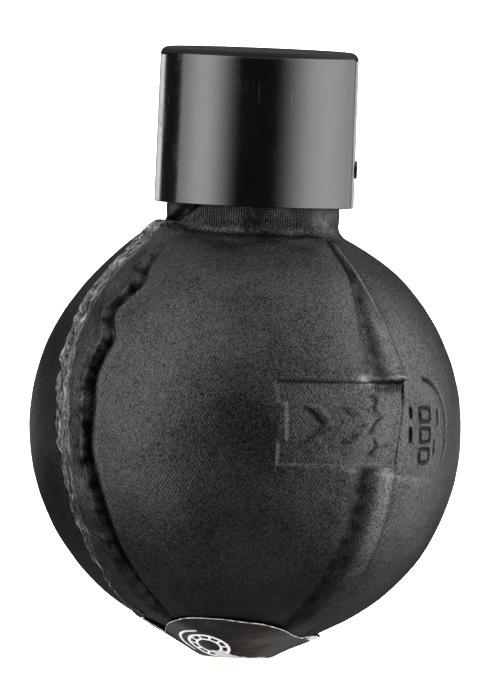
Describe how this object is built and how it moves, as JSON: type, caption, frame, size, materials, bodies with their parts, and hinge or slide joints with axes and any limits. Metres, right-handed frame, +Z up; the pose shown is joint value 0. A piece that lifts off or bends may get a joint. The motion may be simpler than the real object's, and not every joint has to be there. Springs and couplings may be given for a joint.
{
  "type": "fabric-covered hollow ball with a push-on neck cap",
  "caption": "Hollow moulded ball with a short neck, in a sewn fabric cover with glued closing seam, closed by a glossy push-on cap; inert display shell.",
  "frame": {"origin": "centre of the flat foot under the ball", "axes": "+Z up along the neck and cap; -Y is the front, where the closing seam is to the left and the recessed badge to the right; +X is to the right seen from the front"},
  "size_m": [0.067, 0.067, 0.0943],
  "materials": {
    "cover_fabric": "matt black fine twill with lint",
    "rib_knit": "matt black fine upright ribs",
    "thread": "black sewing thread",
    "cap_plastic": "glossy black moulding with fine scratches and dust",
    "label_film": "glossy black printed film with a pale cut edge",
    "moulding": "satin dark grey moulding",
    "plug": "satin grey moulding",
    "collar": "satin black moulding",
    "fibre": "plain grey-brown fibre board",
    "glue": "dried grey glue in frayed fibre"
  },
  "bodies": {
    "ball": {"shell_front_half": "moulding", "shell_back_half": "moulding", "base_plug": "moulding", "neck_plug": "plug", "neck_collar": "collar", "neck_sleeve": "rib_knit", "closing_seam_glue": "glue", "base_label": "label_film", "cover_gore_front": "cover_fabric", "cover_gore_right": "cover_fabric", "cover_gore_back": "cover_fabric", "cover_gore_left": "cover_fabric", "seam_strip_right": "cover_fabric", "seam_strip_back": "cover_fabric", "seam_strip_left": "cover_fabric", "seam_thread_right": "thread", "seam_thread_back": "thread", "seam_thread_left": "thread"},
    "cap_liner": {"cap_liner": "fibre"},
    "cap": {"cap": "cap_plastic"}
  },
  "joints": [
    {"name": "cap_slide", "type": "slide", "parent": "ball", "child": "cap_liner", "axis": [0, 0, 1], "range_m": [0, 0.03]},
    {"name": "cap_twist", "type": "hinge", "parent": "cap_liner", "child": "cap", "pos_m": [0, 0, 0.08], "axis": [0, 0, 1], "continuous": true}
  ]
}
